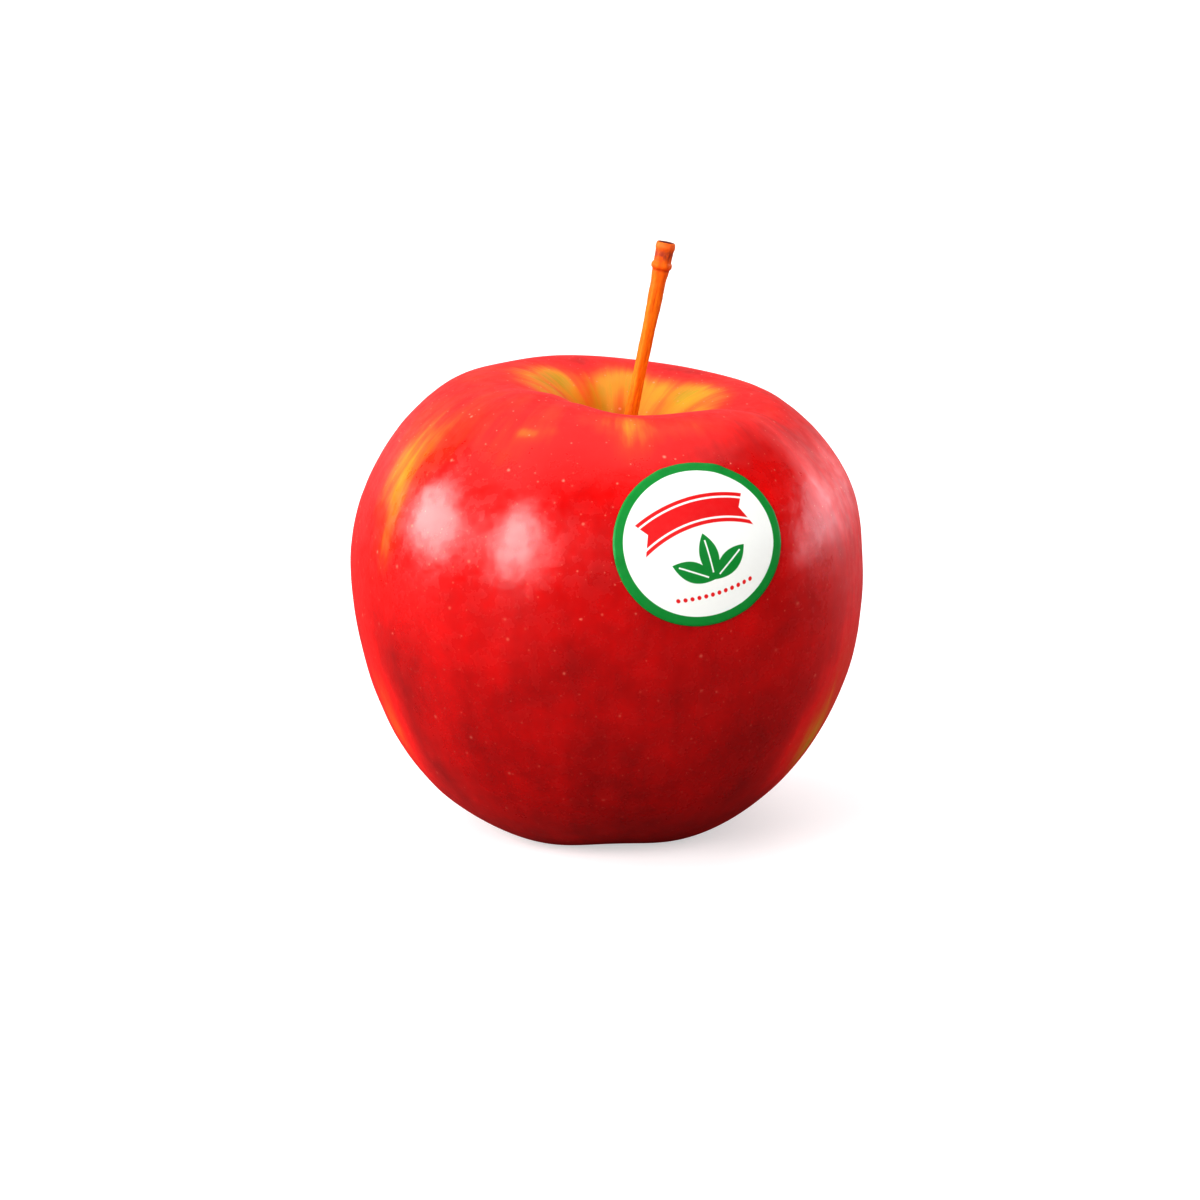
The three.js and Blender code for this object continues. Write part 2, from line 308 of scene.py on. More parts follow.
tree = Growth("skin", SKIN)
size = tree.size
ball = tree.add("GeometryNodeMeshUVSphere", {}, {"Segments": MERIDIANS, "Rings": RINGS, "Radius": 1.0})
x, y, z = tree.split(tree.add("GeometryNodeInputPosition", {}, {}))
azimuth = y.math("ARCTAN2", x)
along = 1 - z.math("MINIMUM", 1).math("MAXIMUM", -1).math("ARCCOSINE") / math.pi
along = along - (along * math.tau).sine() * (CROWDING / math.tau)
turn = along * (pole(1) - pole(-1)) + pole(-1)
steep = turn.sine()
level = turn.cosine()

# The profile is a fat ring's.
radius = across_at(turn, size, Socket.sine, Socket.cosine)
above = steep.math("GREATER_THAN", 0)
middle = (size["Base fullness"] + size["Shoulder fullness"]) * 0.5
fullness = middle + (size["Shoulder fullness"] - size["Base fullness"]) * 0.5 * steep
upwards = (fullness + 1) * steep + fullness * (turn * 3).sine()
reach_up = size["Crown height"] - size["Girth height"]
reach = (size["Girth height"] + reach_up) * 0.5 + (reach_up - size["Girth height"]) * 0.5 * steep
stem_throat = size["Stem throat depth"] * radius.bell(0, size["Stem throat radius"]) * above
eye_throat = size["Eye throat depth"] * radius.bell(0, size["Eye throat radius"]) * (1 - above)
calyx_tube = size["Calyx tube depth"] * ((radius / size["Calyx tube radius"]) ** 8 * -1).exp() * (1 - above)
height = size["Girth height"] + reach * upwards - stem_throat + eye_throat + calyx_tube

# Five lobes, one fuller shoulder, furrows and a faint waviness stand on it.
near_crown = steep.rising(0.2, 1)
near_feet = steep.rising(0.2, -1)
lobe = size["Lobe at girth"] + (size["Lobe at crown"] - size["Lobe at girth"]) * near_crown
lobe = lobe + (size["Lobe at feet"] - size["Lobe at girth"]) * near_feet
proud = lobe * ((azimuth - size["Lobe azimuth"]) * LOBES).cosine()
shoulder = (azimuth - size["Full shoulder azimuth"]).cosine()
proud = proud + size["Full shoulder height"] * near_crown * shoulder
flank = (((azimuth - size["Full flank azimuth"]).cosine() - 1) * 2.5).exp() * turn.bell(-0.5, 0.4)
proud = proud + size["Full flank height"] * flank
downwards = [(azimuth_here, -depth, half_width) for azimuth_here, depth, half_width in FURROWS]
for azimuth_here, rise, half_width in downwards + SWELLINGS:
    aside = ((azimuth - math.radians(azimuth_here)).cosine() - 1) / math.radians(half_width) ** 2
    proud = proud + aside.exp() * steep.rising(-0.3, 0.9) * rise
outwards = tree.join(azimuth.cosine() * level, azimuth.sine() * level, steep)
wave = tree.noise(outwards, 1.9, 1.0) - 0.5
proud = proud + wave * size["Waviness"] * steep.rising(-0.97, -0.6)
proud = proud * (1 - radius.bell(0, size["Lobe fade radius"]))
proud = proud + (tree.noise(outwards, 6.5, 1.0) - 0.5) * size["Dimples"] * steep.rising(-0.97, -0.8)
wander = tree.noise(outwards, 3.0, 1.0) * 5
flutes = (azimuth * CAVITY_FLUTES + wander).sine() * size["Cavity flutes"] * radius.bell(9, 4)
proud = proud + flutes * turn.rising(1.75, 2.0)
folds = (azimuth * EYE_FOLDS + wander).sine() * size["Eye folds"] * radius.bell(5, 2.2)
proud = proud + folds * turn.rising(-1.75, -2.0)
out = radius + proud * level
up = height + proud * steep

# It stands on its five feet, which are worn flat.
settings = {"data_type": "FLOAT", "domain": "POINT"}
lowest = tree.add("GeometryNodeAttributeStatistic", settings, {"Geometry": ball, "Attribute": up}, "Min")
standing = (up - lowest - size["Flat depth"]).math("SMOOTH_MAX", 0, 0.12)
shift = size["Crown shift"] * steep.rising(0, 1) + size["Feet shift"] * steep.rising(0, -1)
skin_point = tree.join(out * azimuth.cosine() + shift, out * azimuth.sine(), standing)
skin = tree.store(ball, "meridian", "FLOAT_VECTOR", tree.join(azimuth.cosine(), azimuth.sine(), 0))
skin = tree.store(skin, "latitude", "FLOAT", turn * math.degrees(1))
skin = tree.add("GeometryNodeSetPosition", {}, {"Geometry": skin, "Position": tree.scaled(skin_point, MM)})

# The red over the golden ground: how thick it lies, from 0 to 1. A darker streak below the front rim is
# painted shade, and the orange at the two lower edges is partly a painted reflection of the floor.
PATCHES = [  # azimuth, latitude, half width and half height in degrees, and how much red is gained there
    (-157, 41, 6, 11, -0.32),  # the golden patch on the left shoulder
    (-152, 27, 6, 11, -0.38),
    (-149, 12, 5, 9, -0.24),
    (-140, 52, 26, 16, -0.12),
    (-165, 56, 14, 12, -0.17),
    (-122, 62, 16, 16, -0.09),
    (-150, 84, 30, 12, -0.14),
    (-119, 61.5, 2.5, 3, -0.20),
    (-111, 64, 2, 3, -0.16),
    (-88, 81, 6, 12, -0.25),  # the streak that runs down from the cavity
    (-87, 65, 6, 14, -0.24),
    # a darker red streak below the front rim: painted shade of a groove there
    (-99, 60, 5, 13, 0.10),
    (-66, 70, 9, 10, -0.06),
    (-50, 74, 70, 14, -0.14),  # the rim before the cavity
    (-20, 30, 16, 26, -0.08),
    (-14, -20, 12, 12, -0.2),
    # orange at the lower right edge: golden ground, partly a painted reflection of the pale floor
    (-26, -38, 8, 12, -0.64),
    # orange at the lower left edge: golden ground, partly a painted reflection of the pale floor
    (-159, -35, 6, 14, -0.44),
    (-148, -20, 6, 12, 0.14),
    (-118, 0, 30, 30, 0.08),
    (-85, -40, 60, 26, 0.14),
    (-60, 0, 26, 30, 0.08),
    (90, 84, 60, 14, -0.13),  # the rim behind it
    (165, 104, 16, 12, -0.29),  # the rays in the cavity
    (143, 108, 10, 9, -0.18),
    (110, 103, 9, 9, 0.22),
    (86, 110, 13, 10, -0.26),
    (61, 98, 9, 8, 0.16),
    (32, 109, 17, 10, -0.31),
    (12, 100, 9, 8, -0.22),
    (90, 10, 60, 45, -0.30),  # the shaded side
]
BLUSH = [
    (0.00, tint(200, 156, 0)),
    (0.18, tint(236, 146, 2)),
    (0.34, tint(243, 104, 10)),
    (0.50, tint(246, 52, 8)),
    (0.66, tint(248, 14, 8)),
    (0.82, tint(208, 0, 2)),
    (1.00, tint(156, 0, 2)),
]
finish = Finish("skin")
meridian = finish.attribute("meridian", "Vector")
latitude = finish.attribute("latitude", "Fac")
east, north, _ = finish.split(meridian)
place = finish.place()


def drawn_out(around, along, detail):
    """Noise drawn out down the fruit. It varies this fast for a radian round it and a degree along it."""
    return finish.noise(finish.join(east * around, north * around, latitude * along), 1.0, detail)


broad_streaks = drawn_out(7, 0.022, 3.0)
fine_streaks = drawn_out(30, 0.05, 3.0)
rays = drawn_out(3.2, 0.010, 1.0)
thin_rays = drawn_out(14, 0.012, 2.0)
clouds = finish.noise(place, 0.13, 3.0)
mottle = finish.noise(place, 0.40, 3.0)
blush = clouds * 0.22 + 0.70
for azimuth_here, latitude_here, half_width, half_height, gained in PATCHES:
    toward = (math.cos(math.radians(azimuth_here)), math.sin(math.radians(azimuth_here)), 0)
    settings = {"operation": "DOT_PRODUCT"}
    facing = finish.add("ShaderNodeVectorMath", settings, (meridian, toward), "Value")
    near = ((facing - 1) / math.radians(half_width) ** 2).exp()
    blush = blush + near * latitude.bell(latitude_here, half_height) * gained
thin = blush.rising(0.85, 0.35)
blush = blush + (broad_streaks - 0.5) * (thin * 0.55 + 0.09)
blush = blush + (fine_streaks - 0.5) * (thin * 0.30 + 0.04)
blush = blush + (mottle - 0.5) * 0.09
in_cavity = latitude.rising(90, 118)
cavity_rays = (rays - 0.5) * 0.8 + (thin_rays - 0.5) * 0.3
blush = blush - in_cavity * 0.54 + cavity_rays * in_cavity * latitude.rising(165, 118)
in_basin = latitude.rising(-88, -120)
blush = blush - in_basin * 0.55
colour = finish.add("ShaderNodeValToRGB", {"stops": BLUSH}, (blush,))
deep = latitude.rising(110, 142)
colour = finish.blended(deep * 0.9, colour, tint(184, 140, 0))
colour = finish.blended(latitude.rising(-110, -150) * 0.7, colour, tint(176, 160, 66))

# Pale breathing pores, and the wax over all.
settings = {"feature": "F1", "distance": "EUCLIDEAN"}
PORES = [  # how many to a millimetre, the radius of the largest and how clearly they show
    (0.42, 0.34, 1.0),
    (0.95, 0.17, 0.8),
]
SMALLEST_PORE = 0.04
PORE_HEART = 0.03
pores = 0.0
for per_millimetre, largest, strength in PORES:
    inputs = {"Vector": place, "Scale": per_millimetre}
    from_pore = finish.add("ShaderNodeTexVoronoi", settings, inputs, "Distance")
    chance, _, _ = finish.split(from_pore.output("Color"))
    pore_size = chance * largest + SMALLEST_PORE
    pores = (from_pore / per_millimetre).rising(pore_size, PORE_HEART) * strength + pores
pores = pores * (latitude.rising(-30, 45) * 0.5 + 0.35)
colour = finish.blended(pores * 0.8, colour, tint(255, 166, 140))
grain = finish.noise(place, 2.6, 3.0)
bloom = finish.noise(place, 0.6, 2.0)
slanting = finish.add("ShaderNodeLayerWeight", {}, {"Blend": 0.5}, "Facing")
waxy = grain * 0.08 + bloom.rising(0.3, 0.7) * 0.10 + 0.165
settings = {"Base Color": colour, "Specular IOR Level": 0.8}
settings["Roughness"] = waxy + latitude.rising(38, 72) * 0.16 + slanting.rising(0.4, 0.9) * 0.3
settings["Normal"] = finish.relief(grain * 0.002 + pores * 0.006 + fine_streaks * 0.010 + bloom * 0.045)
fruit = tree.grown(skin, finish.shaded(settings))


def spread(points, axis):
    values = [point[axis] for point in points]
    return (min(values) + max(values)) / 2


low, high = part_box("fruit")
grown_points = [vertex.co for vertex in fruit.data.vertices]
seat = [(low[axis] + high[axis]) / 2 - spread(grown_points, axis) for axis in (0, 1)]
fruit.data.transform(Matrix.Translation((seat[0], seat[1], 0)))
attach(fruit, "root")
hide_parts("fruit")
skin_under = BVHTree.FromPolygons(
    [vertex.co for vertex in fruit.data.vertices], [face.vertices for face in fruit.data.polygons]
)


# ---------------------------------------------------------------------------------------------------------
# The stem: a thin woody shoot, ridged along its length, which widens to a ring where it hung from the twig.
# It is the fruit's own growth, rooted at the bottom of the cavity, and it broke off just past the ring.

STEM_LEAN = 6.8
STEM_LEANS_TO = math.radians(10)
STEM_HEIGHT = 33.2
STEM_FOOT = 0.95
STEM_SHIFT = 0.35
STEM_LIFT = 0.2
RING_FROM_END = 3.0
PAST_THE_END = 1.0  # what the broken end adds to its length, for its colour
STEM_LINE = [(0, 0), (0.3, 0.3), (0.64, 0.62), (1, 1)]  # shares of its lean and of its height
STEM_AROUND = 48
STEM_ALONG = 300
END_RINGS = 8
STEM_TWIST = 0.03  # how far the ridges turn in a millimetre
END_HOLLOW = 0.3
STEM_RIDGES = [  # how many round the stem, how high and how far turned
    (5, 0.025, 0.0),
    (11, 0.012, 1.3),
]


def on_curve(points, share):
    """The point of a cubic curve at this share of its parameter, and its direction there."""
    a, b, c, d = points
    rest = 1 - share
    point = a * rest**3 + b * 3 * rest**2 * share + c * 3 * rest * share**2 + d * share**3
    direction = (b - a) * rest**2 + (c - b) * 2 * rest * share + (d - c) * share**2
    return point, direction.normalized()


def swept(value, knots):
    """The value between knots, level at each of them."""
    for (low, at_low), (high, at_high) in zip(knots, knots[1:]):
        if value <= high:
            share = min(max((value - low) / (high - low), 0), 1)
            return at_low + (at_high - at_low) * share * share * (3 - 2 * share)
    return knots[-1][1]


def closed_loft(name, rings, first, last):
    """A closed mesh over rings of points, with a single point at each end."""
    around = len(rings[0])
    points = [first, *(point for ring in rings for point in ring), last]
    faces = [(0, 1 + (i + 1) % around, 1 + i) for i in range(around)]
    for ring in range(len(rings) - 1):
        start = 1 + ring * around
        for i in range(around):
            after = (i + 1) % around
            faces.append((start + i, start + after, start + around + after, start + around + i))
    top = len(points) - 1
    start = top - around
    faces.extend((start + i, start + (i + 1) % around, top) for i in range(around))
    mesh = bpy.data.meshes.new(name)
    mesh.from_pydata([point * MM for point in points], [], faces)
    mesh.shade_smooth()
    piece = bpy.data.objects.new(name, mesh)
    bpy.context.scene.collection.objects.link(piece)
    return piece


def keep(piece, name, kind, values):
    """Keeps a value at each point of a piece, for its material."""
    attribute = piece.data.attributes.new(name, kind, "POINT")
    if kind == "FLOAT_VECTOR":
        attribute.data.foreach_set("vector", [part for value in values for part in value])
    else:
        attribute.data.foreach_set("value", values)


low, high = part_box("stem")
foot_reach = STEM_FOOT * math.cos(math.atan(STEM_LEAN / STEM_HEIGHT))
foot = Vector((low.x / MM + foot_reach - STEM_SHIFT, 0, low.z / MM + STEM_LIFT))
leaning = Vector((math.cos(STEM_LEANS_TO), math.sin(STEM_LEANS_TO), 0))
line = [foot + leaning * STEM_LEAN * lean + Vector((0, 0, STEM_HEIGHT * rise)) for lean, rise in STEM_LINE]
sideways = leaning.cross(Vector((0, 0, 1)))
steps = [on_curve(line, i / STEM_ALONG) for i in range(STEM_ALONG + 1)]
travelled = [0.0]
for (before, _), (here, _) in zip(steps, steps[1:]):
    travelled.append(travelled[-1] + (here - before).length)
STEM_LENGTH = travelled[-1]
RING_AT = STEM_LENGTH - RING_FROM_END
STEM_RADII = [
    (0, 0.80),
    (0.4, 0.95),
    (3, 0.95),
    (STEM_LENGTH * 0.4, 0.82),
    (STEM_LENGTH * 0.65, 0.84),
    (RING_AT - 2.4, 0.95),
    (RING_AT - 0.6, 1.08),
    (RING_AT - 0.2, 1.30),
    (RING_AT + 0.1, 1.30),
    (RING_AT + 0.5, 1.10),
    (STEM_LENGTH - 1.3, 1.14),
    (STEM_LENGTH - 0.6, 1.25),
    (STEM_LENGTH - 0.15, 1.20),
    (STEM_LENGTH, 1.08),
]
rings = []
grain_at = []
for (middle, tangent), distance in zip(steps, travelled):
    in_plane = sideways.cross(tangent)
    ring = []
    for i in range(STEM_AROUND):
        angle = math.tau * i / STEM_AROUND
        side = in_plane * math.cos(angle) + sideways * math.sin(angle)
        twist = angle + STEM_TWIST * distance
        ridges = sum(height * math.sin(count * twist + turned) for count, height, turned in STEM_RIDGES)
        rough = 0.06 * noise.noise(Vector((side.x * 1.4, side.y * 1.4, distance * 0.35)))
        rough += 0.03 * noise.noise(Vector((side.x * 3, side.y * 3, distance * 1.7)))
        ring.append(middle + side * (swept(distance, STEM_RADII) + ridges + rough))
        grain_at.append((math.cos(angle), math.sin(angle), distance))
    rings.append(ring)
tip, tip_direction = steps[-1]
for i in range(1, END_RINGS):
    share = 1 - i / END_RINGS
    ring = []
    for j, edge in enumerate(rings[STEM_ALONG]):
        inwards = tip + (edge - tip) * share
        splinter = noise.noise(Vector((inwards.x * 2.2, inwards.y * 2.2, 4))) * 0.3
        ring.append(inwards + tip_direction * (splinter * (1 - share) * 2 - 0.25 * (1 - share)))
        angle = math.tau * j / STEM_AROUND
        grain_at.append((math.cos(angle), math.sin(angle), STEM_LENGTH + PAST_THE_END))
    rings.append(ring)
stem = closed_loft("stem_wood", rings, foot, tip - tip_direction * END_HOLLOW)
keep(stem, "grain", "FLOAT_VECTOR", [(0, 0, 0), *grain_at, (0, 0, STEM_LENGTH + PAST_THE_END)])

finish = Finish("stem")
round_x, round_y, distance = finish.split(finish.attribute("grain", "Vector"))
fibres = finish.noise(finish.join(round_x * 3.5, round_y * 3.5, distance * 0.22), 1.0, 4.0)
specks = finish.noise(finish.join(round_x * 2.5, round_y * 2.5, distance * 1.3), 1.0, 3.0)
WOOD = [
    (0.25, tint(190, 82, 8)),
    (0.42, tint(226, 110, 12)),
    (0.60, tint(240, 132, 18)),
    (0.80, tint(246, 158, 46)),
]
bark = finish.add("ShaderNodeValToRGB", {"stops": WOOD}, (fibres * 0.7 + specks * 0.3,))
reddened = distance.rising(STEM_LENGTH - 9, STEM_LENGTH - 3) * 0.35
bark = finish.blended(reddened, bark, tint(250, 100, 34))
bark = finish.blended(distance.rising(5.2, 3.4) * 0.4, bark, tint(176, 120, 20))
under_ring = distance.bell(RING_AT - 0.55, 0.2) * 0.5
bark = finish.blended(under_ring, bark, tint(150, 30, 14))
recess = distance.bell(RING_AT + 1.4, 0.7) * specks.rising(0.25, 0.55) * 0.8
bark = finish.blended(recess, bark, tint(150, 62, 54))
end_rim = distance.bell(STEM_LENGTH - 0.4, 0.35) * 0.7
bark = finish.blended(end_rim, bark, tint(250, 124, 60))
bark = finish.blended(distance.rising(STEM_LENGTH + 0.1, STEM_LENGTH + 0.5), bark, tint(104, 30, 30))
settings = {"Base Color": bark, "Specular IOR Level": 0.25, "Roughness": specks * 0.2 + 0.45}
settings["Normal"] = finish.relief(fibres * 0.06 + specks * 0.05)
stem.data.materials.append(finish.shaded(settings))
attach(stem, "root")
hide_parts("stem")


# ---------------------------------------------------------------------------------------------------------
# The sepals: the flower's five small leaves, dry and brown, which close over the eye with their tips curled
# back. They grew from the rim of the eye and stay on the fruit as it ripens.

SEPALS = 5
SEPAL_WIDTH = 2.8
SEPAL_THICKNESS = 0.16
SEPAL_CLOSING = 1.9
SEPAL_CURL = 1.2
SEPAL_FOOT_RADIUS = 3.7
SEPAL_FOOT_PROUD = 0.15
SEPAL_FOOT_DROP = 0.5
SEPAL_CUPPED = 0.32
SEPAL_RIB = 0.08
RIB_WIDTH = 0.12
SEPAL_CRINKLE = 0.12
SEPAL_AROUND = 28
SEPAL_ALONG = 40

sepal_names = [f"sepal_{i + 1}" for i in range(SEPALS)]
corners = [corner for name in sepal_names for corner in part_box(name)]
eye = Vector((spread(corners, 0), 0, 0)) / MM

finish = Finish("sepal")
leaf_across, leaf_along, _ = finish.split(finish.attribute("leaf", "Vector"))
place = finish.place()
veins = finish.noise(finish.join(leaf_across * 9, leaf_along * 2, 0), 1.0, 3.0)
blotches = finish.noise(place, 1.1, 3.0)
fuzz = finish.noise(place, 9.0, 2.0)
DRY_LEAF = [
    (0.30, tint(44, 28, 18)),
    (0.50, tint(98, 70, 42)),
    (0.70, tint(150, 122, 82)),
]
leaf = finish.add("ShaderNodeValToRGB", {"stops": DRY_LEAF}, (veins * 0.4 + blotches * 0.4 + fuzz * 0.2,))
leaf = finish.blended(leaf_along.rising(0.35, 0), leaf, tint(120, 116, 60))
settings = {"Base Color": leaf, "Specular IOR Level": 0.2, "Roughness": fuzz * 0.2 + 0.75}
settings["Normal"] = finish.relief(veins * 0.08 + fuzz * 0.05)
dry_leaf = finish.shaded(settings)

for index, name in enumerate(sepal_names):
    low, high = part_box(name)
    middle = (low + high) / 2 / MM
    outwards = Vector((middle.x - eye.x, middle.y, 0)).normalized()
    across = outwards.cross(Vector((0, 0, 1)))
    from_point = eye + outwards * SEPAL_FOOT_RADIUS + Vector((0, 0, high.z / MM - SEPAL_FOOT_DROP))
    seat, _, _, _ = skin_under.find_nearest(from_point * MM)
    seat = seat / MM + Vector((0, 0, SEPAL_FOOT_PROUD))
    closed = eye + outwards * (SEPAL_FOOT_RADIUS - SEPAL_CLOSING - 0.2 * math.sin(index * 2.4))
    tip_height = low.z / MM + 0.15 * math.sin(index * 1.7) + 0.15
    line = [
        seat,
        closed + Vector((0, 0, seat.z - 0.3)),
        closed + Vector((0, 0, tip_height + (seat.z - tip_height) * 0.3)),
        closed + outwards * (SEPAL_CURL + 0.3 * math.sin(index * 3.1)) + Vector((0, 0, tip_height)),
    ]
    rings = []
    kept = [(0, 0, 0)]
    for i in range(1, SEPAL_ALONG):
        share = i / SEPAL_ALONG
        point, tangent = on_curve(line, share)
        face = tangent.cross(across)
        half = SEPAL_WIDTH / 2 * (1 - (1 - min(share / 0.15, 1)) ** 2) ** 0.5 * (1 - share**2.2)
        half *= 1 + 0.12 * noise.noise(Vector((share * 9, index * 3.3, 0)))
        ring = []
        for j in range(SEPAL_AROUND):
            angle = math.tau * j / SEPAL_AROUND
            aside = half * math.cos(angle)
            thick = SEPAL_THICKNESS / 2 * math.sin(angle) * (1 - share**6)
            cupped = -SEPAL_CUPPED * (aside / (SEPAL_WIDTH / 2)) ** 2
            rib = -SEPAL_RIB * math.exp(-((aside / RIB_WIDTH) ** 2))
            crinkle = SEPAL_CRINKLE * noise.noise(Vector((aside * 1.6, share * 5, index * 7.0)))
            ring.append(point + across * aside + face * (thick + cupped + rib + crinkle))
            kept.append((aside, share, 0))
        rings.append(ring)
    sepal = closed_loft(name + "_leaf", rings, line[0], line[3])
    keep(sepal, "leaf", "FLOAT_VECTOR", [*kept, (0, 1, 0)])
    sepal.data.materials.append(dry_leaf)
    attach(sepal, "root")
    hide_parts(name)


# ---------------------------------------------------------------------------------------------------------
# The stamens: a ring of dried threads in the tube above the eye, each with what is left of its pollen sac.
# They stand on the withered disc of the flower, and hang down in the tube.

TUFT = {
    "Inner ring": 0.62,
    "Outer ring": 1.0,
    "Thread length": 8.0,
    "Thread radius": 0.09,
    "Sac radius": 0.17,
    "Splay": 0.55,
    "Disc radius": 1.45,
    "Disc thickness": 0.7,
    "Disc height": 11.1,
    "Eye X": eye.x,
}
THREADS = 10
TUFT_SEED = 4

tree = Growth("stamens", TUFT)
size = tree.size
start = tree.join(0, 0, 0)
thread_end = tree.join(size["Splay"], 0, size["Thread length"] * -1)
bend_one = tree.join(0, 0, size["Thread length"] * -0.35)
bend_two = tree.join(size["Splay"] * 0.2, size["Splay"] * 0.3, size["Thread length"] * -0.7)
inputs = {"Resolution": 12, "Start": start, "End": thread_end}
inputs.update({"Start Handle": bend_one, "End Handle": bend_two})
thread_line = tree.add("GeometryNodeCurvePrimitiveBezierSegment", {}, inputs)
inputs = {"Resolution": 8, "Radius": size["Thread radius"]}
section = tree.add("GeometryNodeCurvePrimitiveCircle", {}, inputs)
inputs = {"Curve": thread_line, "Profile Curve": section, "Fill Caps": True}
thread = tree.add("GeometryNodeCurveToMesh", {}, inputs)
sac = tree.add("GeometryNodeMeshUVSphere", {}, {"Segments": 10, "Rings": 8, "Radius": size["Sac radius"]})
inputs = {"Geometry": sac, "Translation": thread_end, "Scale": (1, 1, 1.9)}
sac = tree.add("GeometryNodeTransform", {}, inputs)
stamen = tree.tree.nodes.new("GeometryNodeJoinGeometry")
tree.tree.links.new(thread.socket, stamen.inputs[0])
tree.tree.links.new(sac.socket, stamen.inputs[0])
tufts = tree.tree.nodes.new("GeometryNodeJoinGeometry")
for ring_name, first_angle in (("Inner ring", 0.0), ("Outer ring", math.pi / THREADS)):
    ring_points = tree.add("GeometryNodeMeshCircle", {}, {"Vertices": THREADS, "Radius": size[ring_name]})
    inputs = {"Geometry": ring_points, "Rotation": (0, 0, first_angle)}
    ring_points = tree.add("GeometryNodeTransform", {}, inputs)
    across, behind, _ = tree.split(tree.add("GeometryNodeInputPosition", {}, {}))
    inputs = {2: -0.5, 3: 0.5, "Seed": TUFT_SEED}  # the smallest and the largest
    vary = tree.add("FunctionNodeRandomValue", {"data_type": "FLOAT"}, inputs, 1)
    facing = tree.join(0, vary * 0.25, behind.math("ARCTAN2", across) + vary)
    inputs = {"Points": ring_points, "Instance": Socket(tree, stamen.outputs[0]), "Rotation": facing}
    inputs["Scale"] = tree.join(1, 1, 0.95 + vary * 0.16)
    threads = tree.add("GeometryNodeInstanceOnPoints", {}, inputs)
    tree.tree.links.new(threads.socket, tufts.inputs[0])
inputs = {"Segments": 32, "Rings": 16, "Radius": size["Disc radius"]}
disc = tree.add("GeometryNodeMeshUVSphere", {}, inputs)
flat = size["Disc thickness"] / size["Disc radius"] * 0.5
disc = tree.add("GeometryNodeTransform", {}, {"Geometry": disc, "Scale": tree.join(1, 1, flat)})
tree.tree.links.new(disc.socket, tufts.inputs[0])
over_eye = tree.join(size["Eye X"], 0, size["Disc height"])
inputs = {"Geometry": Socket(tree, tufts.outputs[0]), "Translation": over_eye}
tuft = tree.add("GeometryNodeTransform", {}, inputs)
tuft = tree.add("GeometryNodeTransform", {}, {"Geometry": tuft, "Scale": (MM, MM, MM)})

finish = Finish("stamens")
place = finish.place()
dust = finish.noise(place, 6.0, 3.0)
blotches = finish.noise(place, 0.9, 2.0)
DRY_THREAD = [
    (0.30, tint(30, 20, 14)),
    (0.55, tint(82, 58, 36)),
    (0.75, tint(136, 104, 62)),
]
thread_colour = finish.add("ShaderNodeValToRGB", {"stops": DRY_THREAD}, (dust * 0.5 + blotches * 0.5,))
settings = {"Base Color": thread_colour, "Specular IOR Level": 0.15, "Roughness": dust * 0.1 + 0.85}
settings["Normal"] = finish.relief(dust * 0.06)
stamens = tree.grown(tuft, finish.shaded(settings))
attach(stamens, "root")
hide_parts("stamen_tuft")


# ---------------------------------------------------------------------------------------------------------
# The label: an oval of coated paper, printed in green and red on white. It is stuck on the skin by hand at a
# slant, and follows the skin's curve with a few faint wrinkles at its edge.

LABEL_WIDTH = 22.4
LABEL_TALL = 20.4
LABEL_TILT = math.radians(12)
LABEL_RAISED = 0.9
LABEL_THICKNESS = 0.12
LABEL_LIFT = 0.04
LABEL_AROUND = 160
LABEL_ACROSS = 36
LABEL_EDGE_ROUND = 0.004  # a share of its size
WRINKLE_HEIGHT = 0.4
SKIN_BEND = 33  # the skin's radius under it
CLEAR_OF_SKIN = 10

label_points = [vertex.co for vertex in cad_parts["label"].data.vertices]
label_middle = Vector([spread(label_points, axis) for axis in range(3)])
outwards = Vector((label_middle.x, label_middle.y, 0)).normalized()
start = label_middle + (outwards * CLEAR_OF_SKIN + Vector((0, 0, LABEL_RAISED))) * MM
label_seat, label_face, _, _ = skin_under.ray_cast(start, -outwards)
level = Vector((0, 0, 1)).cross(label_face).normalized()
upright = label_face.cross(level)
label_right = level * math.cos(LABEL_TILT) + upright * math.sin(LABEL_TILT)
label_up = upright * math.cos(LABEL_TILT) - level * math.sin(LABEL_TILT)


def on_skin(right, up, lift):
    """A point over the skin, at this distance along it from the label's middle, in millimetres."""
    distance = math.hypot(right, up)
    shrunk = SKIN_BEND * math.sin(distance / SKIN_BEND) / distance if distance else 1
    aside = (label_right * right + label_up * up) * shrunk
    start = label_seat + (aside + label_face * CLEAR_OF_SKIN) * MM
    hit, facing, _, _ = skin_under.ray_cast(start, -label_face)
    return (hit + facing * lift * MM) / MM


rings = []
printed = []
sheet_shares = [(i / LABEL_ACROSS, 0) for i in range(1, LABEL_ACROSS + 1)]
sheet_shares += [(1.0, 0.5)] + [(1 - i / LABEL_ACROSS, 1) for i in range(LABEL_ACROSS)]
for share, side in sheet_shares:
    ring = []
    rounded = LABEL_EDGE_ROUND if side == 0.5 else 0
    for i in range(LABEL_AROUND):
        angle = math.tau * i / LABEL_AROUND
        right = LABEL_WIDTH / 2 * (share + rounded) * math.cos(angle)
        up = LABEL_TALL / 2 * (share + rounded) * math.sin(angle)
        wrinkle = max(noise.noise(Vector((math.cos(angle) * 4, math.sin(angle) * 4, 2.0))) - 0.12, 0)
        lift = LABEL_LIFT + LABEL_THICKNESS * side + WRINKLE_HEIGHT * wrinkle * share**8
        ring.append(on_skin(right, up, lift))
        printed.append((right, up, 0))
    rings.append(ring)
label_back = on_skin(0, 0, LABEL_LIFT)
label_front = on_skin(0, 0, LABEL_LIFT + LABEL_THICKNESS)
label = closed_loft("label_paper", rings, label_back, label_front)
keep(label, "print", "FLOAT_VECTOR", [(0, 0, 0), *printed, (0, 0, 0)])

